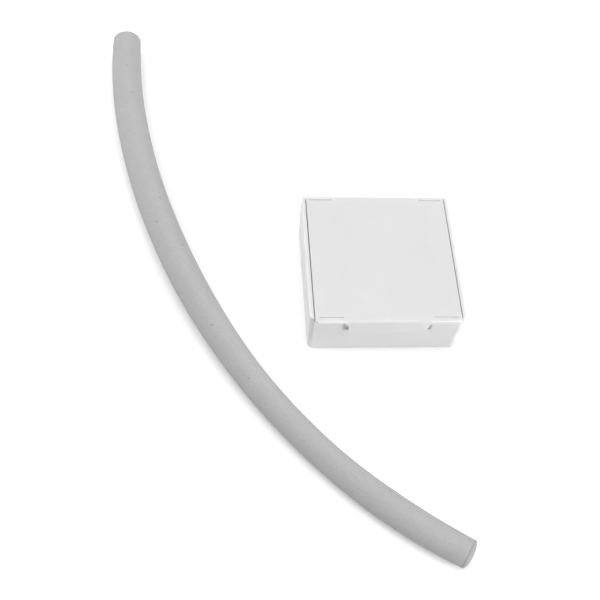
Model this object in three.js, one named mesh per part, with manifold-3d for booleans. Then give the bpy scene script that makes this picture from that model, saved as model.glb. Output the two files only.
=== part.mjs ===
// Flexible air stone: a porous air hose with its two end plugs and bend wire, and beside it the small
// hinged fittings case that holds its suction-cup clips and airline joiner.
// Millimetres, +Z up. The origin is the middle of the whole layout's footprint, on the surface it lies on.
import * as THREE from "three";
import { mergeVertices } from "three/addons/utils/BufferGeometryUtils.js";
import Module from "manifold-3d";

const wasm = await Module();
wasm.setup();

// ---- Driving dimensions -------------------------------------------------------------------------

const GAP = 0.3;                       // clearance between pieces that touch or fit together

const HOSE = { radius: 6.25, boreRadius: 4.25, sides: 20, steps: 40 };  // radius: on average
// The hose's centreline on the surface, from its inlet to its closed end.
const ROUTE = [
  [-66.6, 133.7], [-66.6, 127.6], [-66.3, 113.5], [-64.8, 94.4], [-62.2, 75.7],
  [-58.6, 57.0], [-54.0, 38.6], [-48.4, 20.5], [-41.9, 2.7], [-34.4, -14.8],
  [-25.9, -31.7], [-16.3, -48.3], [-5.7, -64.0], [6.0, -78.9], [18.8, -93.0],
  [32.6, -106.0], [47.5, -117.7], [59.3, -125.5], [63.9, -128.4],
];
const PLUG = { length: 10, radius: 3.85, airlineRadius: 3.1, mouth: 0.3 };
const END_CAP = { rim: 0.4, dome: 1.8 };
const WIRE_RADIUS = 1.0;

const CASE = {
  x: 41.8, y: -6.6,                    // centre of the case's footprint
  width: 63, depth: 62.8, height: 23.5,
  wall: 1.6, floor: 1.4, draft: 0.8,   // draft: how far each side leans in at the floor
  corner: 2.1, foot: 1.2, innerCorner: 1.6, innerFoot: 0.8,
  ear: 1.6,                            // rounding of the side walls' back top corners
};
const LID = { thick: 1.4, sideGap: 0.35, overhang: 1.35, cornerRound: 1.5 };
const HINGE = { rollRadius: 1.8, step: 0.1, chamfer: 1.5, pinRadius: 1.0, pinReach: 0.7 };
const TAB = { halfWidth: 15.8, shoulder: 17.8, thick: 1.05, drop: 7.7, round: 1.0, footRound: 1.0 };
const RECESS = { halfWidth: 18.2, depth: 0.7, below: 0.5 };  // in the front wall, behind the tab
const CATCH = { halfWidth: 8, height: 1, rib: 0.45, bead: 0.35 };
// Shallow grooves in the lid's top, two by the latch and two by the hinge. Inner and outer are
// distances from the case's middle line, and fromEdge is from the lid's front or from the hinge roll.
const LATCH_GROOVE = { inner: 18.3, outer: 27.9, width: 0.7, depth: 0.3, fromEdge: 1.7 };
const HINGE_GROOVE = { inner: 18.7, outer: 28.3, width: 0.8, depth: 0.7, fromEdge: 0.4, slope: 0.5 };

const CUP = { radius: 8, shoulder: 5.2, neckRadius: 2.3, neckEnd: 7.4, knobRadius: 3.8, top: 9.6 };
const CLIP = { wall: 1.6, width: 8, mouth: 100, pedestalRadius: 5.4 };
const JOINER = {
  length: 26, bore: 1.1, stem: 1.9, barb: 2.3, barbs: [4.5, 7.5, 10.5], collar: 4, collarWidth: 1.8,
};
// Where the fittings lie in the case, from its middle.
const LAYOUT = { cupX: 27, frontCupY: -14, backCupY: 12, joinerX: 13, joinerY: -16 };

// Values that follow from them.
const halfWidth = CASE.width / 2;
const halfDepth = CASE.depth / 2;
const lidHalfWidth = halfWidth - CASE.wall - LID.sideGap;
const lidFront = -halfDepth - LID.overhang;
const hingeY = halfDepth - HINGE.rollRadius;
const hingeZ = CASE.height - HINGE.step - HINGE.rollRadius;
const frontWallTop = CASE.height - LID.thick - LID.sideGap;
const backWallTop = hingeZ - HINGE.rollRadius - LID.sideGap;

// ---- Materials ----------------------------------------------------------------------------------

function finish(color, roughness, metalness = 0, opacity = 1) {
  return new THREE.MeshStandardMaterial({
    color, roughness, metalness, opacity, transparent: opacity < 1,
  });
}

const porousGrey = () => finish(0xbcbcbc, 0.9);
const hardGrey = () => finish(0xb4b4b4, 0.55);
const softWire = () => finish(0xa8aaad, 0.35, 1);
const frostedClear = () => finish(0xe6e6e6, 0.45, 0, 0.8);
const clearVinyl = () => finish(0xdfe3e3, 0.2, 0, 0.6);
const clearHard = () => finish(0xeceeee, 0.25, 0, 0.7);

// ---- Shapes -------------------------------------------------------------------------------------

// A closed surface as a solid that can be joined and cut.
function solid(geometry) {
  const bare = geometry.clone();
  bare.deleteAttribute("normal");
  bare.deleteAttribute("uv");
  const merged = mergeVertices(bare, 1e-4);
  const index = merged.index.array;
  const corners = [];
  for (let i = 0; i < index.length; i += 3) {
    const [a, b, c] = index.slice(i, i + 3);
    if (a !== b && b !== c && c !== a) corners.push(a, b, c);
  }
  return new wasm.Manifold(new wasm.Mesh({
    numProp: 3,
    vertProperties: Float32Array.from(merged.attributes.position.array),
    triVerts: Uint32Array.from(corners),
  }));
}

// A joined or cut solid as a geometry.
function surface(body) {
  const mesh = body.getMesh();
  const geometry = new THREE.BufferGeometry();
  geometry.setAttribute("position", new THREE.BufferAttribute(mesh.vertProperties, 3));
  geometry.setIndex(new THREE.BufferAttribute(mesh.triVerts, 1));
  geometry.computeVertexNormals();
  return geometry;
}

// A box given by its limits.
function block([x0, x1], [y0, y1], [z0, z1]) {
  const box = new THREE.BoxGeometry(x1 - x0, y1 - y0, z1 - z0);
  return solid(box.translate((x0 + x1) / 2, (y0 + y1) / 2, (z0 + z1) / 2));
}

// A round bar along X between two limits, at a given y and z.
function bar(radius, [x0, x1], y, z, sides = 24) {
  const cylinder = new THREE.CylinderGeometry(radius, radius, x1 - x0, sides);
  return solid(cylinder.rotateZ(Math.PI / 2).translate((x0 + x1) / 2, y, z));
}

// A section drawn in x and y and extruded up, turned to be in y and z and to run along X.
function alongX(extrusion) {
  return extrusion.rotateX(Math.PI / 2).rotateZ(Math.PI / 2);
}

// A turned piece about +Z, from [radius, height] points.
function turned(profile, sides) {
  const points = profile.map(([radius, height]) => new THREE.Vector2(radius, height));
  return new THREE.LatheGeometry(points, sides).rotateX(Math.PI / 2);
}

// A quarter ellipse from the rim of a cap to its middle, as [radius, height] points.
function domeProfile(radius, base, rise, steps = 6) {
  const points = [];
  for (let i = 0; i <= steps; i += 1) {
    const angle = (i / steps) * Math.PI / 2;
    points.push([i === steps ? 0 : radius * Math.cos(angle), base + rise * Math.sin(angle)]);
  }
  return points;
}

function roundedRectangle(width, depth, radius) {
  const [x, y] = [width / 2 - radius, depth / 2 - radius];
  const quarter = Math.PI / 2;
  const shape = new THREE.Shape();
  shape.absarc(x, -y, radius, -quarter, 0);
  shape.absarc(x, y, radius, 0, quarter);
  shape.absarc(-x, y, radius, quarter, 2 * quarter);
  shape.absarc(-x, -y, radius, 2 * quarter, 3 * quarter);
  shape.closePath();
  return shape;
}

// A tub-shaped block: rounded corners, a rounded foot, and sides that lean in towards the floor. It
// stands a little over its height, for its rim to be cut flat.
function tub(width, depth, height, corner, foot, draft) {
  const outline = roundedRectangle(width - 2 * foot, depth - 2 * foot, corner - foot);
  const geometry = new THREE.ExtrudeGeometry(outline, {
    depth: height + 2, curveSegments: 6,
    bevelThickness: foot, bevelSize: foot, bevelSegments: 3,
  }).translate(0, 0, foot);
  const place = geometry.attributes.position;
  for (let i = 0; i < place.count; i += 1) {
    const lean = draft * (1 - place.getZ(i) / height);
    place.setX(i, place.getX(i) * (1 - 2 * lean / width));
    place.setY(i, place.getY(i) * (1 - 2 * lean / depth));
  }
  return geometry;
}

// What is cut off a square top edge along X to round it. The piece lies below z, on the inward side
// of y (+1 or -1).
function topEdgeRounder(radius, [x0, x1], y, z, inward) {
  const centreY = y + inward * radius;
  const acrossY = [y - inward, centreY].sort((a, b) => a - b);
  return block([x0, x1], acrossY, [z - radius, z + 1])
    .subtract(bar(radius, [x0 - 1, x1 + 1], centreY, z - radius, 32));
}

// ---- The hose -----------------------------------------------------------------------------------

// The route on the surface, under the hose's middle.
function route() {
  const points = ROUTE.map(([x, y]) => new THREE.Vector3(x, y, 0));
  return new THREE.CatmullRomCurve3(points, false, "centripetal");
}

// The hose isn't even: full in its first half and slim in its second, with a fuller stretch before
// its closed end. It narrows towards its inlet. The share is of its length, from the inlet.
function hoseRadius(share) {
  const taper = 0.1 * Math.tanh((0.575 - share) / 0.12);
  const fuller = 0.055 * Math.exp(-(((share - 0.905) / 0.07) ** 2));
  const narrowing = 0.055 * Math.exp(-share / 0.07);
  return HOSE.radius * (1 + taper + fuller - narrowing);
}

function hoseMiddle(curve, share) {
  return curve.getPointAt(share).setZ(hoseRadius(share));
}

// One ring of the hose's outside or of its bore, square to the route.
function hoseRing(curve, share, radius) {
  const middle = hoseMiddle(curve, share);
  const heading = curve.getTangentAt(share);
  const ring = [];
  for (let i = 0; i < HOSE.sides; i += 1) {
    const angle = (i / HOSE.sides) * 2 * Math.PI;
    const [aside, up] = [radius * Math.cos(angle), radius * Math.sin(angle)];
    ring.push(new THREE.Vector3(-heading.y * aside, heading.x * aside, up).add(middle));
  }
  return ring;
}

// The surface through rings of points, each joined to the next, and the last to the first.
function ringSurface(rings) {
  const sides = rings[0].length;
  const corners = [];
  for (let ring = 0; ring < rings.length; ring += 1) {
    const [here, there] = [ring * sides, ((ring + 1) % rings.length) * sides];
    for (let side = 0; side < sides; side += 1) {
      const after = (side + 1) % sides;
      corners.push(here + side, here + after, there + after);
      corners.push(here + side, there + after, there + side);
    }
  }
  const geometry = new THREE.BufferGeometry().setFromPoints(rings.flat()).setIndex(corners);
  geometry.computeVertexNormals();
  return geometry;
}

function porousSleeve() {
  const curve = route();
  const outside = [];
  const bore = [];
  for (let i = 0; i <= HOSE.steps; i += 1) {
    const share = i / HOSE.steps;
    outside.push(hoseRing(curve, share, hoseRadius(share)));
    bore.unshift(hoseRing(curve, share, HOSE.boreRadius));
  }
  return ringSurface([...outside, ...bore]);
}

// The wire lies along the bottom of the bore, between the two plugs.
function bendWire() {
  const curve = route();
  const margin = (PLUG.length + GAP) / curve.getLength();
  const drop = HOSE.boreRadius - WIRE_RADIUS - GAP;
  const points = [];
  for (let i = 0; i <= HOSE.steps; i += 1) {
    const middle = hoseMiddle(curve, margin + (i / HOSE.steps) * (1 - 2 * margin));
    points.push(middle.setZ(middle.z - drop));
  }
  const section = new THREE.Shape().absarc(0, 0, WIRE_RADIUS, 0, 2 * Math.PI);
  return new THREE.ExtrudeGeometry(section, {
    steps: HOSE.steps, curveSegments: 4,
    extrudePath: new THREE.CatmullRomCurve3(points, false, "centripetal"),
  });
}

// A short socket, flush with the hose's end, that takes the airline.
function inletPlug() {
  return turned([
    [PLUG.airlineRadius, -PLUG.length], [PLUG.radius, -PLUG.length], [PLUG.radius, 0],
    [PLUG.airlineRadius + PLUG.mouth, 0], [PLUG.airlineRadius, -PLUG.mouth],
    [PLUG.airlineRadius, -PLUG.length],
  ], 24);
}

// A stem in the bore and a low domed cap over the hose's end.
function endPlug() {
  const radius = hoseRadius(1);
  return turned([
    [0, -PLUG.length], [PLUG.radius, -PLUG.length], [PLUG.radius, GAP], [radius, GAP],
    ...domeProfile(radius, GAP + END_CAP.rim, END_CAP.dome),
  ], 24);
}

// Puts a turned plug at one end of the route, its axis pointing out of the hose.
function seatPlug(mesh, atStart) {
  const curve = route();
  const share = atStart ? 0 : 1;
  const outward = curve.getTangentAt(share).multiplyScalar(atStart ? -1 : 1);
  mesh.position.copy(hoseMiddle(curve, share));
  mesh.rotation.set(0, Math.PI / 2, 0);
  mesh.rotateX(-Math.atan2(outward.y, outward.x));
  return mesh;
}

// ---- The fittings case --------------------------------------------------------------------------

function caseTray() {
  const { width, depth, height, wall, floor, corner, foot, draft, ear } = CASE;
  const inside = halfWidth - wall;
  const far = 2 * height;
  const cavity = tub(width - 2 * wall, depth - 2 * wall, height, CASE.innerCorner, CASE.innerFoot, draft);
  cavity.translate(0, 0, floor);
  let tray = solid(tub(width, depth, height, corner, foot, draft)).subtract(solid(cavity));
  tray = tray.subtract(block([-width, width], [-depth, depth], [height, far]));
  tray = tray.subtract(block([-inside, inside], [-depth, 0], [frontWallTop, far]));
  tray = tray.subtract(block([-inside, inside], [0, depth], [backWallTop, far]));
  tray = tray.subtract(topEdgeRounder(ear, [-width, width], halfDepth, height, -1));
  const recessFloor = -halfDepth + RECESS.depth;
  tray = tray.subtract(block([-RECESS.halfWidth, RECESS.halfWidth], [-depth, recessFloor],
    [height - TAB.drop - RECESS.below, far]));
  const dimple = inside + HINGE.pinReach + GAP;
  tray = tray.subtract(bar(HINGE.pinRadius + GAP, [-dimple, dimple], hingeY, hingeZ));
  return tray.add(catchBar(recessFloor - CATCH.rib, recessFloor + wall / 4, height - TAB.drop / 2));
}

// A bar of the snap catch, along X, between two depths.
function catchBar(y0, y1, z) {
  return block([-CATCH.halfWidth, CATCH.halfWidth], [y0, y1],
    [z - CATCH.height / 2, z + CATCH.height / 2]);
}

// The lid's plate, seen from above: square at the hinge, rounded at its two front corners.
function lidPlate() {
  const [x, y, round] = [lidHalfWidth, lidFront, LID.cornerRound];
  const outline = new THREE.Shape();
  outline.moveTo(x, hingeY);
  outline.lineTo(-x, hingeY);
  outline.absarc(-x + round, y + round, round, Math.PI, 1.5 * Math.PI);
  outline.absarc(x - round, y + round, round, -0.5 * Math.PI, 0);
  outline.closePath();
  const plate = new THREE.ExtrudeGeometry(outline, {
    depth: LID.thick, bevelEnabled: false, curveSegments: 5,
  });
  return solid(plate.translate(0, 0, CASE.height - LID.thick));
}

// The roll along the lid's back edge, which turns on the hinge's axis. Its back corners are chamfered.
function lidRoll() {
  const { rollRadius, chamfer } = HINGE;
  const back = hingeY + rollRadius;
  let roll = bar(rollRadius, [-lidHalfWidth, lidHalfWidth], hingeY, hingeZ, 32);
  for (const side of [-1, 1]) {
    const corner = new THREE.BoxGeometry(chamfer * Math.SQRT2, chamfer * Math.SQRT2, 3 * rollRadius)
      .rotateZ(Math.PI / 4).translate(side * lidHalfWidth, back, hingeZ);
    roll = roll.subtract(solid(corner));
  }
  return roll;
}

// The latch tab's front outline, hanging from the lid's front edge: shoulders, then a rounded foot.
function latchTab() {
  const top = CASE.height;
  const bottom = top - TAB.drop;
  const slope = TAB.shoulder - TAB.halfWidth;
  const foot = TAB.footRound;
  const outline = new THREE.Shape();
  outline.moveTo(-TAB.shoulder, top);
  outline.lineTo(-TAB.shoulder, top - LID.thick);
  outline.lineTo(-TAB.halfWidth, top - LID.thick - slope);
  outline.absarc(-TAB.halfWidth + foot, bottom + foot, foot, Math.PI, 1.5 * Math.PI);
  outline.absarc(TAB.halfWidth - foot, bottom + foot, foot, -0.5 * Math.PI, 0);
  outline.lineTo(TAB.halfWidth, top - LID.thick - slope);
  outline.lineTo(TAB.shoulder, top - LID.thick);
  outline.lineTo(TAB.shoulder, top);
  outline.closePath();
  const tab = new THREE.ExtrudeGeometry(outline, {
    depth: TAB.thick, bevelEnabled: false, curveSegments: 4,
  });
  return solid(tab.rotateX(Math.PI / 2).translate(0, lidFront + TAB.thick, 0));
}

// What is cut from the lid's top for one groove along X. Its back face slopes up by the slope's run.
function grooveCutter({ inner, outer, width, depth, slope = 0 }, side, front) {
  const span = [side * inner, side * outer].sort((a, b) => a - b);
  const section = new THREE.Shape();
  section.moveTo(front, -depth);
  section.lineTo(front + width - slope, -depth);
  section.lineTo(front + width + slope / depth, 1);
  section.lineTo(front, 1);
  section.closePath();
  const cutter = new THREE.ExtrudeGeometry(section, { depth: span[1] - span[0], bevelEnabled: false });
  return solid(alongX(cutter).translate(span[0], 0, CASE.height));
}

function caseLid() {
  const top = CASE.height;
  const pinEnd = halfWidth - CASE.wall + HINGE.pinReach;
  let lid = lidPlate().add(lidRoll()).add(latchTab());
  lid = lid.add(bar(HINGE.pinRadius, [-pinEnd, pinEnd], hingeY, hingeZ));
  const hingeGrooveFront = hingeY - HINGE_GROOVE.fromEdge - HINGE_GROOVE.width;
  for (const side of [-1, 1]) {
    lid = lid.subtract(grooveCutter(LATCH_GROOVE, side, lidFront + LATCH_GROOVE.fromEdge));
    lid = lid.subtract(grooveCutter(HINGE_GROOVE, side, hingeGrooveFront));
  }
  const edge = [-TAB.halfWidth - 1, TAB.halfWidth + 1];
  lid = lid.subtract(topEdgeRounder(TAB.round, edge, lidFront, top, 1));
  const innerFace = lidFront + TAB.thick;
  return lid.add(catchBar(lidFront + TAB.thick / 2, innerFace + CATCH.bead,
    top - TAB.drop + CATCH.height));
}

// ---- The fittings -------------------------------------------------------------------------------

// A suction cup about +Z: hollow lip below, neck and knob above.
function suctionCup() {
  const { radius, shoulder, neckRadius, neckEnd, knobRadius, top } = CUP;
  return turned([
    [0, 2.6], [3, 2.3], [6, 1.3], [radius - 0.6, 0], [radius, 0], [radius, 0.5],
    [6.4, 2.4], [4.2, 3.9], [4.2, shoulder], [neckRadius, shoulder], [neckRadius, neckEnd],
    [knobRadius, neckEnd], [knobRadius, neckEnd + 0.9], [2, top], [0, top],
  ], 28);
}

// A snap ring for the hose on a hollow pedestal that the cup's knob clips into, about +Z. The ring's
// axis runs along Y, and its mouth opens away from the cup.
function hoseClip() {
  const inner = HOSE.radius + 0.15;
  const outer = inner + CLIP.wall;
  const plateBottom = CUP.shoulder + GAP;
  const plateTop = CUP.neckEnd - GAP;
  const ringZ = CUP.top + GAP + outer;
  const mouth = THREE.MathUtils.degToRad(CLIP.mouth / 2);
  const ring = new THREE.Shape();
  ring.absarc(0, 0, outer, Math.PI / 2 + mouth, 2.5 * Math.PI - mouth);
  ring.absarc(0, 0, inner, 2.5 * Math.PI - mouth, Math.PI / 2 + mouth, true);
  ring.closePath();
  const ringSolid = new THREE.ExtrudeGeometry(ring, {
    depth: CLIP.width, bevelEnabled: false, curveSegments: 28,
  }).rotateX(Math.PI / 2).translate(0, CLIP.width / 2, ringZ);
  const pedestalTop = ringZ - inner - CLIP.wall / 2;
  const pedestal = turned([
    [0, plateBottom], [CLIP.pedestalRadius, plateBottom], [CLIP.pedestalRadius, pedestalTop],
    [0, pedestalTop],
  ], 24);
  const socket = turned([
    [0, plateBottom - 1], [CUP.neckRadius + GAP, plateBottom - 1], [CUP.neckRadius + GAP, plateTop],
    [CUP.knobRadius + GAP, plateTop], [CUP.knobRadius + GAP, CUP.top + GAP], [0, CUP.top + GAP],
  ], 24);
  const hoseRoom = new THREE.CylinderGeometry(inner, inner, 4 * CLIP.pedestalRadius, 56)
    .translate(0, 0, ringZ);
  return surface(solid(ringSolid).add(solid(pedestal)).subtract(solid(socket))
    .subtract(solid(hoseRoom)));
}

// A straight barbed joiner about +Z, centred on its collar.
function airlineJoiner() {
  const { length, bore, stem, barb, barbs, collar, collarWidth } = JOINER;
  const half = [[collar, collarWidth / 2], [stem, collarWidth / 2]];
  for (const height of barbs) {
    half.push([stem, height], [barb, height], [stem, height + 2]);
  }
  half.push([bore, length / 2]);
  const mirrored = half.map(([radius, height]) => [radius, -height]).reverse();
  return turned([...mirrored, ...half, mirrored[0]], 16);
}

// ---- Assembly -----------------------------------------------------------------------------------

function addPiece(group, name, geometry, material) {
  const mesh = new THREE.Mesh(geometry, material);
  mesh.name = name;
  group.add(mesh);
  return mesh;
}

function airHose() {
  const group = new THREE.Group();
  addPiece(group, "porous_sleeve", porousSleeve(), porousGrey());
  addPiece(group, "bend_wire", bendWire(), softWire());
  seatPlug(addPiece(group, "inlet_plug", inletPlug(), hardGrey()), true);
  seatPlug(addPiece(group, "end_plug", endPlug(), hardGrey()), false);
  return group;
}

// A cup with its clip on it, lying on its side on the case's floor, its lip towards one side wall.
function cupWithClip(number, side, y) {
  const group = new THREE.Group();
  addPiece(group, `suction_cup_${number}`, suctionCup(), clearVinyl());
  addPiece(group, `hose_clip_${number}`, hoseClip(), clearHard());
  group.position.set(side * LAYOUT.cupX, y, CASE.floor + GAP + CUP.radius);
  group.rotation.y = -side * Math.PI / 2;
  return group;
}

function fittingsCase() {
  const group = new THREE.Group();
  group.position.set(CASE.x, CASE.y, 0);
  addPiece(group, "case_tray", surface(caseTray()), frostedClear());
  addPiece(group, "case_lid", surface(caseLid()), frostedClear());
  group.add(cupWithClip(1, -1, LAYOUT.frontCupY));
  group.add(cupWithClip(2, 1, LAYOUT.backCupY));
  const joiner = addPiece(group, "airline_joiner", airlineJoiner(), clearHard());
  joiner.rotation.y = Math.PI / 2;
  joiner.position.set(LAYOUT.joinerX, LAYOUT.joinerY, CASE.floor + GAP + JOINER.collar);
  return group;
}

const airStone = new THREE.Group();
airStone.add(airHose(), fittingsCase());

export default airStone;
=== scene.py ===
"""Looks of the flexible air stone and its fittings case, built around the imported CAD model.

Metres, +Z up, in the CAD model's frame. The camera and the hose come first, then the case and the
fittings in it, then the stage and its lights.
"""

from math import cos, exp, pi, radians, sin, tanh

import bmesh
import bpy
from mathutils import Matrix, Vector, noise


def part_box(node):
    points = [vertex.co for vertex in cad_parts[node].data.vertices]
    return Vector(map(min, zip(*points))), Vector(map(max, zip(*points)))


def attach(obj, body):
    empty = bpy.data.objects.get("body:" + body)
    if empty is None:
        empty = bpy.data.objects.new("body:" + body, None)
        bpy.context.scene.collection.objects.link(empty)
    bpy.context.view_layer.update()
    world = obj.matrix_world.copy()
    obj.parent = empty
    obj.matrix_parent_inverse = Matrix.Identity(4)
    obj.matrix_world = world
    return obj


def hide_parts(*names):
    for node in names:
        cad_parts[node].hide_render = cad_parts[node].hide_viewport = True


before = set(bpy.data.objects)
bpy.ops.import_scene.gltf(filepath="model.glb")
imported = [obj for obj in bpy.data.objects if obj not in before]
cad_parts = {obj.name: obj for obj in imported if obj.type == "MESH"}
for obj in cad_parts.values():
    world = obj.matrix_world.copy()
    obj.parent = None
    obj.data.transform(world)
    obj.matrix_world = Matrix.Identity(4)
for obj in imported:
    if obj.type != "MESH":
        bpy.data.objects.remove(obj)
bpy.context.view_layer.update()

MM = 0.001

# ---- Driving dimensions --------------------------------------------------------------------------

# The hose's centreline on the surface, from its inlet to its closed end, as the CAD model has it.
ROUTE = [
    (-0.0666, 0.1337), (-0.0666, 0.1276), (-0.0663, 0.1135), (-0.0648, 0.0944), (-0.0622, 0.0757),
    (-0.0586, 0.0570), (-0.0540, 0.0386), (-0.0484, 0.0205), (-0.0419, 0.0027), (-0.0344, -0.0148),
    (-0.0259, -0.0317), (-0.0163, -0.0483), (-0.0057, -0.0640), (0.0060, -0.0789), (0.0188, -0.0930),
    (0.0326, -0.1060), (0.0475, -0.1177), (0.0593, -0.1255), (0.0639, -0.1284),
]

# The hose's radius is nominal: hose_radius says how it varies along the hose.
HOSE_RADIUS = 6.25 * MM
BORE_RADIUS = 4.25 * MM
HOSE_SIDES = 80
RING_STEP = 1.0 * MM
BORE_STEPS = 48
INLET_ROUNDING = 0.7 * MM
SEAM_ANGLE = radians(87)
SEAM_WIDTH, SEAM_DEPTH = 0.22 * MM, 0.05 * MM
UNEVENNESS = 0.04 * MM

# The plugs: how long and thick their stems are, the airline's bore, and the closed end's cap.
PLUG_LENGTH, PLUG_RADIUS, AIRLINE_RADIUS = 10 * MM, 3.85 * MM, 3.1 * MM
CAP_GAP, CAP_RIM, CAP_DOME = 0.3 * MM, 0.4 * MM, 1.8 * MM
CREASE = 0.05 * MM

CAMERA_PLACE = (-0.0377, -0.2697, 0.3842)
CAMERA_PITCH, CAMERA_YAW, CAMERA_ROLL = radians(55.83), radians(-10.45), radians(-8.60)
CAMERA_LENS = 65.88


# ---- Camera --------------------------------------------------------------------------------------

def make_camera():
    data = bpy.data.cameras.new("camera")
    data.lens = CAMERA_LENS
    data.sensor_width = 36
    data.clip_start = 0.01
    camera = bpy.data.objects.new("camera", data)
    bpy.context.collection.objects.link(camera)
    turn = Matrix.Rotation(CAMERA_YAW, 4, "Z") @ Matrix.Rotation(pi / 2 - CAMERA_PITCH, 4, "X")
    camera.matrix_world = (Matrix.Translation(CAMERA_PLACE) @ turn
                           @ Matrix.Rotation(-CAMERA_ROLL, 4, "Z"))
    bpy.context.scene.camera = camera


# ---- Node helpers --------------------------------------------------------------------------------

class Nodes:
    """A short way to write a material's node tree."""

    def __init__(self, name):
        self.material = bpy.data.materials.new(name)
        self.material.use_nodes = True
        self.tree = self.material.node_tree
        self.shader = self.tree.nodes["Principled BSDF"]
        self.place = self.tree.nodes.new("ShaderNodeTexCoord").outputs["Object"]

    def add(self, kind, inputs=None, **settings):
        node = self.tree.nodes.new(kind)
        for key, value in settings.items():
            setattr(node, key, value)
        for key, value in (inputs or {}).items():
            if isinstance(value, bpy.types.NodeSocket):
                self.tree.links.new(value, node.inputs[key])
            else:
                node.inputs[key].default_value = value
        return node

    def noise(self, per_metre, detail=3.0, roughness=0.5):
        return self.add("ShaderNodeTexNoise", {
            "Vector": self.place, "Scale": per_metre, "Detail": detail, "Roughness": roughness,
        }).outputs["Fac"]

    def cells(self, per_metre, feature="F1"):
        return self.add("ShaderNodeTexVoronoi", {"Vector": self.place, "Scale": per_metre},
                        feature=feature).outputs["Distance"]

    def spread(self, value, low, high, to_low=0.0, to_high=1.0):
        """The value's stretch from low to high, as to_low to to_high, held at its ends."""
        return self.add("ShaderNodeMapRange", {
            "Value": value, "From Min": low, "From Max": high, "To Min": to_low, "To Max": to_high,
        }).outputs["Result"]

    def mix(self, factor, first, second):
        node = self.add("ShaderNodeMix", data_type="RGBA")
        colours = [socket for socket in node.inputs if socket.type == "RGBA"]
        for socket, colour in zip(colours, (first, second)):
            if isinstance(colour, bpy.types.NodeSocket):
                self.tree.links.new(colour, socket)
            else:
                socket.default_value = (*colour, 1.0)
        self.tree.links.new(factor, node.inputs[0])
        return next(socket for socket in node.outputs if socket.type == "RGBA")

    def bump(self, height, depth, below=None):
        inputs = {"Height": height, "Strength": 1.0, "Distance": depth}
        if below is not None:
            inputs["Normal"] = below
        return self.add("ShaderNodeBump", inputs).outputs["Normal"]

    def finish(self, **values):
        """Sets the shader's own sockets, named with underscores for spaces."""
        for key, value in values.items():
            socket = self.shader.inputs[key.replace("_", " ")]
            if isinstance(value, bpy.types.NodeSocket):
                self.tree.links.new(value, socket)
            elif socket.type == "RGBA":
                socket.default_value = (*value, 1.0)
            else:
                socket.default_value = value
        return self.material


# ---- Materials -----------------------------------------------------------------------------------

def porous_grey():
    """Matt foamed plastic: fine grain, soft mottling and scattered open pores."""
    n = Nodes("porous_hose")
    mottle = n.noise(140, 4.0, 0.6)
    grain = n.noise(2600, 2.0, 0.6)
    pores = n.spread(n.cells(900), 0.10, 0.30)
    specks = n.spread(n.cells(170), 0.055, 0.085)
    base = n.mix(n.spread(mottle, 0.3, 0.7), (0.325, 0.325, 0.326), (0.345, 0.345, 0.345))
    grained = n.mix(n.spread(grain, 0.35, 0.65), base, (0.352, 0.352, 0.352))
    pored = n.mix(pores, (0.30, 0.30, 0.30), grained)
    colour = n.mix(specks, (0.235, 0.235, 0.24), pored)
    dents = n.bump(pores, 0.03 * MM)
    surface = n.bump(grain, 0.05 * MM, dents)
    return n.finish(Base_Color=colour, Roughness=n.spread(grain, 0.3, 0.7, 0.78, 0.95),
                    Normal=surface, Specular_IOR_Level=0.25)


def moulded_grey():
    """The plugs' plastic: closed and smoother than the hose's. Its grey is a little darker than the
    hose's only as painted shade, which offsets the front light on the closed end's dome.
    """
    n = Nodes("plug_grey")
    grain = n.noise(2200, 2.0, 0.5)
    mottle = n.noise(160, 3.0, 0.5)
    # Painted shade: both greys sit below the hose's to offset the front light on the cap's dome; the
    # mottle between them is the plastic's own tone.
    colour = n.mix(n.spread(mottle, 0.3, 0.7), (0.275, 0.275, 0.277), (0.29, 0.29, 0.29))
    return n.finish(Base_Color=colour, Roughness=n.spread(grain, 0.3, 0.7, 0.6, 0.78),
                    Normal=n.bump(grain, 0.02 * MM), Specular_IOR_Level=0.3)


def frosted_case():
    """Frosted polypropylene: milky, faintly grained by the mould, with soft flow streaks."""
    n = Nodes("frosted_case")
    grain = n.noise(1800, 2.0, 0.55)
    cloud = n.noise(45, 3.0, 0.5)
    colour = n.mix(n.spread(cloud, 0.3, 0.7), (0.55, 0.55, 0.55), (0.565, 0.565, 0.565))
    return n.finish(Base_Color=colour, Roughness=n.spread(grain, 0.3, 0.7, 0.38, 0.5),
                    Normal=n.bump(grain, 0.015 * MM), Subsurface_Weight=1.0,
                    Subsurface_Radius=(1.0, 1.0, 1.0), Subsurface_Scale=2 * MM, IOR=1.49)


def clear_vinyl():
    """Soft clear vinyl: slightly milky, glossy, with faint waviness."""
    n = Nodes("clear_vinyl")
    wave = n.noise(260, 2.0, 0.5)
    return n.finish(Base_Color=(0.86, 0.90, 0.89), Roughness=n.spread(wave, 0.3, 0.7, 0.07, 0.13),
                    Transmission_Weight=0.85, IOR=1.5, Normal=n.bump(wave, 0.02 * MM))


def clear_plastic():
    """Hard clear moulded plastic."""
    n = Nodes("clear_clip")
    wave = n.noise(180, 2.0, 0.5)
    return n.finish(Base_Color=(0.90, 0.92, 0.92), Roughness=n.spread(wave, 0.3, 0.7, 0.04, 0.1),
                    Transmission_Weight=0.9, IOR=1.49, Normal=n.bump(wave, 0.01 * MM))


def drawn_wire():
    """Soft drawn wire: fine scratches and a dull sheen."""
    n = Nodes("wire")
    scratch = n.noise(3000, 3.0, 0.7)
    return n.finish(Base_Color=n.mix(scratch, (0.45, 0.45, 0.46), (0.66, 0.66, 0.67)), Metallic=1.0,
                    Roughness=n.spread(scratch, 0.3, 0.7, 0.3, 0.5), Normal=n.bump(scratch, 0.01 * MM))


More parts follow.
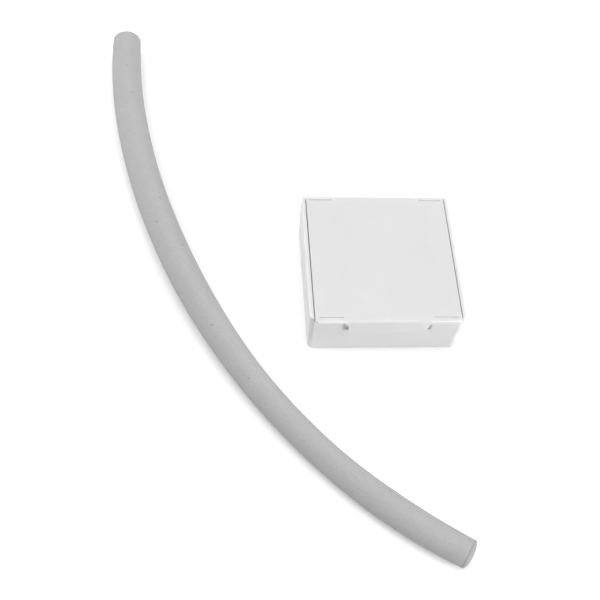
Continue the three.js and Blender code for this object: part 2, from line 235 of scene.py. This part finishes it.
def pale_floor():
    """Plain near-white paper."""
    n = Nodes("floor")
    fibre = n.noise(900, 2.0, 0.5)
    return n.finish(Base_Color=n.mix(fibre, (0.90, 0.90, 0.90), (0.92, 0.92, 0.92)), Roughness=0.9,
                    Specular_IOR_Level=0.0)


# ---- Mesh helpers --------------------------------------------------------------------------------

def add_object(name, mesh, material):
    mesh.materials.clear()
    mesh.materials.append(material)
    piece = bpy.data.objects.new(name, mesh)
    bpy.context.collection.objects.link(piece)
    return piece


def mesh_from(name, points, faces, smooth_angle=40):
    mesh = bpy.data.meshes.new(name)
    mesh.from_pydata([tuple(point) for point in points], [], faces)
    mesh.validate()
    for polygon in mesh.polygons:
        polygon.use_smooth = True
    mesh.set_sharp_from_angle(angle=radians(smooth_angle))
    return mesh


def loop_faces(rings, sides, closed):
    """Quads between rings of points, each ring joined to the next, and the last to the first."""
    faces = []
    for ring in range(rings if closed else rings - 1):
        here, there = ring * sides, (ring + 1) % rings * sides
        for side in range(sides):
            after = (side + 1) % sides
            faces.append((here + side, here + after, there + after, there + side))
    return faces


def turned_piece(name, profile, place, material, sides=96):
    """A turned piece from (radius, height) points about its own +Z. It is closed at the axis where
    the profile starts and ends there, and otherwise closes on itself."""
    on_axis = profile[0][0] == 0
    rings = [point for point in profile if point[0] > 0]
    points = []
    for radius, height in rings:
        for side in range(sides):
            angle = 2 * pi * side / sides
            points.append((radius * cos(angle), radius * sin(angle), height))
    faces = loop_faces(len(rings), sides, not on_axis)
    if on_axis:
        last = (len(rings) - 1) * sides
        points += [(0, 0, profile[0][1]), (0, 0, profile[-1][1])]
        for side in range(sides):
            after = (side + 1) % sides
            faces.append((len(points) - 2, after, side))
            faces.append((len(points) - 1, last + side, last + after))
    piece = add_object(name, mesh_from(name, points, faces, 35), material)
    piece.data.transform(place)
    return piece


def arc(centre_r, centre_h, radius, start, end, steps=5):
    """Points of an arc in a turned profile, between two angles in degrees."""
    return [(centre_r + radius * cos(radians(start + (end - start) * i / steps)),
             centre_h + radius * sin(radians(start + (end - start) * i / steps)))
            for i in range(steps + 1)]


def softened(node, name, material, width):
    """A copy of a CAD node's shape with its flat faces joined up and its edges rounded. The big
    faces are shaded flat."""
    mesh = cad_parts[node].data.copy()
    work = bmesh.new()
    work.from_mesh(mesh)
    bmesh.ops.remove_doubles(work, verts=work.verts, dist=1e-6)
    bmesh.ops.dissolve_limit(work, angle_limit=radians(2), verts=work.verts, edges=work.edges)
    work.to_mesh(mesh)
    work.free()
    for polygon in mesh.polygons:
        polygon.use_smooth = True
    piece = add_object(name, mesh, material)
    bevel = piece.modifiers.new("edges", "BEVEL")
    bevel.width = width
    bevel.segments = 3
    bevel.limit_method = "ANGLE"
    bevel.angle_limit = radians(40)
    bevel.use_clamp_overlap = True
    flat = piece.modifiers.new("flat faces", "WEIGHTED_NORMAL")
    flat.weight = 100
    piece.data = bpy.data.meshes.new_from_object(
        piece.evaluated_get(bpy.context.evaluated_depsgraph_get()))
    piece.modifiers.clear()
    return piece


def show(piece, body, slot, *nodes):
    """Rides a piece on its body, in place of its CAD nodes."""
    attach(piece, body)
    if nodes:
        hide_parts(*nodes)
    return piece


# ---- The hose ------------------------------------------------------------------------------------

def smooth_route(points, per_span=24):
    """Centripetal Catmull-Rom curve through the route's points, as a close list of points."""
    padded = [2 * points[0] - points[1], *points, 2 * points[-1] - points[-2]]
    curve = []
    for span in range(len(points) - 1):
        p0, p1, p2, p3 = padded[span:span + 4]
        t1 = (p1 - p0).length ** 0.5
        t2 = t1 + (p2 - p1).length ** 0.5
        t3 = t2 + (p3 - p2).length ** 0.5
        for i in range(per_span):
            t = t1 + (t2 - t1) * i / per_span
            a1 = p0 * ((t1 - t) / t1) + p1 * (t / t1)
            a2 = p1 * ((t2 - t) / (t2 - t1)) + p2 * ((t - t1) / (t2 - t1))
            a3 = p2 * ((t3 - t) / (t3 - t2)) + p3 * ((t - t2) / (t3 - t2))
            b1 = a1 * ((t2 - t) / t2) + a2 * (t / t2)
            b2 = a2 * ((t3 - t) / (t3 - t1)) + a3 * ((t - t1) / (t3 - t1))
            curve.append(b1 * ((t2 - t) / (t2 - t1)) + b2 * ((t - t1) / (t2 - t1)))
    return [*curve, points[-1]]


class Route:
    """The hose's line on the surface, read by distance from the inlet."""

    def __init__(self):
        self.points = smooth_route([Vector((x, y)) for x, y in ROUTE])
        self.reach = [0.0]
        for before, after in zip(self.points, self.points[1:]):
            self.reach.append(self.reach[-1] + (after - before).length)
        self.length = self.reach[-1]

    def at(self, distance):
        """Place and heading at a distance, in a straight line beyond either end."""
        inside = min(max(distance, 0.0), self.length)
        low = 0
        high = len(self.reach) - 1
        while high - low > 1:
            middle = (low + high) // 2
            low, high = (middle, high) if self.reach[middle] <= inside else (low, middle)
        along = self.points[high] - self.points[low]
        heading = along.normalized()
        place = self.points[low] + heading * (inside - self.reach[low])
        return place + heading * (distance - inside), heading


def hose_radius(distance, length):
    """The hose isn't even: full in its first half and slim in its second, with a fuller stretch
    before its closed end. It narrows towards its inlet."""
    share = distance / length
    taper = 0.1 * tanh((0.575 - share) / 0.12)
    fuller = 0.055 * exp(-((share - 0.905) / 0.07) ** 2)
    narrowing = 0.055 * exp(-share / 0.07)
    return HOSE_RADIUS * (1 + taper + fuller - narrowing)


def seam_depth(angle, distance, length):
    """The faint line that the extruding die leaves along the top, clearer towards the closed end."""
    across = (angle - SEAM_ANGLE) * HOSE_RADIUS / SEAM_WIDTH
    strength = min(1.0, max(0.15, 2.4 * distance / length - 1.1))
    return SEAM_DEPTH * exp(-across ** 2) * strength


def ring_angles():
    """Even steps round the section, with closer ones at the seam."""
    even = [2 * pi * i / HOSE_SIDES for i in range(HOSE_SIDES)]
    near_seam = [SEAM_ANGLE + radians(1.1 * i) for i in range(-5, 6)]
    clear = [angle for angle in even if abs(angle - SEAM_ANGLE) > radians(6.5)]
    return sorted(clear + near_seam)


def hose_profile(length):
    """The wall's section, once round, as (distance, whether on the outside, inset) rows."""
    edge = INLET_ROUNDING
    quarter = [i / 6 * pi / 2 for i in range(7)]
    rows = [(edge * (1 - cos(angle)), True, edge * (1 - sin(angle))) for angle in quarter]
    steps = round((length - 2 * edge) / RING_STEP)
    rows += [(edge + (length - edge - 0.2 * MM) * i / steps, True, 0.0) for i in range(1, steps)]
    rows += [(length - 0.04 * MM, True, 0.01 * MM), (length, True, CREASE)]
    rows.append((length, False, -0.1 * MM))
    rows += [(length + (0.3 * MM - length) * i / BORE_STEPS, False, 0.0)
             for i in range(1, BORE_STEPS + 1)]
    rows.append((0.0, False, -0.3 * MM))
    return rows


def hose_line(route, length):
    """The hose's middle from its inlet to its closed end, in even steps."""
    steps = int(length / RING_STEP)
    line = []
    for i in range(steps + 1):
        distance = length * i / steps
        place, _ = route.at(distance)
        line.append((place.x, place.y, hose_radius(distance, length)))
    return line


def make_hose(route, material):
    length = route.length + CAP_GAP
    angles = ring_angles()
    points = []
    for distance, outside, inset in hose_profile(length):
        place, heading = route.at(distance)
        full = hose_radius(distance, length)
        side = Vector((-heading.y, heading.x, 0))
        centre = Vector((place.x, place.y, full))
        for angle in angles:
            direction = side * cos(angle) + Vector((0, 0, sin(angle)))
            if outside:
                uneven = UNEVENNESS * noise.noise((centre + direction * full) * 130)
                radius = full - inset - seam_depth(angle, distance, length) + min(uneven, 0.0)
            else:
                radius = BORE_RADIUS - inset
            points.append(centre + direction * radius)
    mesh = mesh_from("hose", points, loop_faces(len(points) // len(angles), len(angles), True), 50)
    hose = show(add_object("hose", mesh, material), "hose", "porous_hose", "porous_sleeve")
    line = hose_line(route, length)
    return hose


def end_place(route, at_inlet):
    """The matrix that puts a piece turned about +Z at one end of the hose, +Z out of the hose."""
    distance = 0.0 if at_inlet else route.length
    place, heading = route.at(distance)
    outward = Vector((heading.x, heading.y, 0)) * (-1 if at_inlet else 1)
    turn = outward.to_track_quat("Z", "Y").to_matrix().to_4x4()
    return Matrix.Translation((place.x, place.y, hose_radius(distance, route.length))) @ turn


def make_end_cap(route, material):
    """A stem in the bore, and a domed cap over the hose's end."""
    steps, rounding = 24, 0.4 * MM
    radius = hose_radius(route.length, route.length)
    profile = [(0, -PLUG_LENGTH)]
    profile += arc(PLUG_RADIUS - rounding, rounding - PLUG_LENGTH, rounding, -90, 0)
    profile += [(PLUG_RADIUS, CAP_GAP), (radius - CREASE, CAP_GAP), (radius, CAP_GAP + CREASE)]
    for i in range(1, steps):
        angle = i / steps * pi / 2
        profile.append((radius * cos(angle), CAP_GAP + CAP_RIM + CAP_DOME * sin(angle)))
    profile.append((0, CAP_GAP + CAP_RIM + CAP_DOME))
    cap = turned_piece("end_cap", profile, end_place(route, False), material)
    return show(cap, "hose", "plug", "end_plug")


def make_inlet_socket(route, material):
    """A socket with two small grip grooves, flush with the hose's end."""
    outer, inner, length = PLUG_RADIUS, AIRLINE_RADIUS, PLUG_LENGTH
    lip = 0.25 * MM
    profile = [(inner, -length), (outer - lip, -length), (outer, -length + lip)]
    profile += arc(outer - lip, -lip, lip, 0, 90)
    profile += [(inner + lip, 0), *arc(inner + lip, -lip, lip, 90, 180)[1:]]
    for stop in (-3 * MM, -6 * MM):
        profile += [(inner, stop + 0.5 * MM), (inner + 0.1 * MM, stop), (inner, stop - 0.5 * MM)]
    socket = turned_piece("inlet_socket", profile, end_place(route, True), material)
    return show(socket, "hose", "plug", "inlet_plug")


# ---- The case ------------------------------------------------------------------------------------

def make_case(material):
    tray = softened("case_tray", "tray", material, 0.2 * MM)
    show(tray, "case", "frosted_case", "case_tray")
    lid = softened("case_lid", "lid_panel", material, 0.14 * MM)
    show(lid, "lid", "frosted_case", "case_lid")


# ---- The fittings --------------------------------------------------------------------------------

def cup_place(number):
    """A suction cup's place from its CAD box: on its side, its lip towards the nearer side wall."""
    low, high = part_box(f"suction_cup_{number}")
    tray_low, tray_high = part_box("case_tray")
    towards_left = low[0] - tray_low[0] < tray_high[0] - high[0]
    rim = low[0] if towards_left else high[0]
    turn = Matrix.Rotation(pi / 2 if towards_left else -pi / 2, 4, "Y")
    return Matrix.Translation((rim, (low[1] + high[1]) / 2, (low[2] + high[2]) / 2)) @ turn


def make_suction_cup(number, material):
    """A hollow lip, a neck and a knob, from points in millimetres."""
    profile = [(0, 2.6), (2.4, 2.45), (4.3, 1.85), (5.9, 1.0), (7.3, 0.12)]
    profile += arc(7.75, 0.25, 0.25, -90, 90, 6)
    profile += [(6.9, 1.35), (5.7, 2.5), (4.8, 3.4), (4.3, 4.1), (4.2, 4.9)]
    profile += arc(3.9, 4.9, 0.3, 0, 90) + [(2.5, 5.2), (2.3, 5.4), (2.3, 7.2), (2.5, 7.4)]
    profile += arc(3.5, 7.7, 0.3, -90, 0) + [(3.8, 8.2), (3.2, 8.9), (2.3, 9.45), (1.5, 9.6), (0, 9.6)]
    profile = [(radius * MM, height * MM) for radius, height in profile]
    name = f"cup_{number}"
    cup = turned_piece(name, profile, cup_place(number), material)
    return show(cup, "case", "clear_vinyl", f"suction_cup_{number}")


def make_joiner(material):
    """A barbed tube with a middle collar. One half is drawn in millimetres and mirrored."""
    low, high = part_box("airline_joiner")
    half = [(0.9, 4.0), (0.9, 1.9)]
    for barb in (4.5, 7.5, 10.5):
        half += [(barb - 0.15, 1.9), (barb, 2.2), (barb + 0.1, 2.3), (barb + 2, 1.9)]
    half += [(12.7, 1.7), (13.0, 1.3), (12.8, 1.1)]
    right = [(radius * MM, height * MM) for height, radius in half]
    left = [(radius, -height) for radius, height in reversed(right)]
    middle = Vector(low).lerp(Vector(high), 0.5)
    place = Matrix.Translation(middle) @ Matrix.Rotation(pi / 2, 4, "Y")
    joiner = turned_piece("joiner", left + right, place, material, 64)
    return show(joiner, "case", "clear_clip", "airline_joiner")


def make_fittings():
    vinyl, clear = clear_vinyl(), clear_plastic()
    for number in (1, 2):
        make_suction_cup(number, vinyl)
        clip = softened(f"hose_clip_{number}", f"clip_{number}", clear, 0.18 * MM)
        show(clip, "case", "clear_clip", f"hose_clip_{number}")
    make_joiner(clear)


# ---- Stage ---------------------------------------------------------------------------------------

def make_floor(material):
    work = bmesh.new()
    bmesh.ops.create_grid(work, x_segments=1, y_segments=1, size=3.0)
    mesh = bpy.data.meshes.new("floor")
    work.to_mesh(mesh)
    work.free()
    floor = add_object("floor", mesh, material)
    floor.location.z = -0.05 * MM


def add_light(name, place, target, size, power):
    data = bpy.data.lights.new(name, "AREA")
    data.shape = "RECTANGLE"
    data.size, data.size_y = size
    data.energy = power
    light = bpy.data.objects.new(name, data)
    bpy.context.collection.objects.link(light)
    aim = Vector(target) - Vector(place)
    light.matrix_world = Matrix.Translation(place) @ aim.to_track_quat("-Z", "Y").to_matrix().to_4x4()


def make_lights():
    world = bpy.data.worlds.new("studio")
    world.use_nodes = True
    world.node_tree.nodes["Background"].inputs["Color"].default_value = (1.0, 1.0, 1.0, 1.0)
    world.node_tree.nodes["Background"].inputs["Strength"].default_value = 0.05
    bpy.context.scene.world = world
    middle = (0.0, 0.0, 0.0)
    add_light("overhead", (0.0, -0.1, 1.2), middle, (1.6, 1.6), 17.5)
    add_light("left", (-0.9, 0.25, 0.55), middle, (0.9, 0.5), 7.2)
    add_light("back", (0.05, 0.95, 0.5), middle, (1.2, 0.4), 4.6)
    add_light("front", (0.8, -0.62, 0.34), middle, (0.8, 0.4), 9.8)
    bpy.context.scene.view_settings.view_transform = "Standard"


# ---- Making --------------------------------------------------------------------------------------

make_camera()
route = Route()
plug_grey = moulded_grey()
make_end_cap(route, plug_grey)
make_inlet_socket(route, plug_grey)
make_hose(route, porous_grey())
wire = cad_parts["bend_wire"]
wire.data.materials.clear()
wire.data.materials.append(drawn_wire())
make_case(frosted_case())
make_fittings()
make_floor(pale_floor())
make_lights()
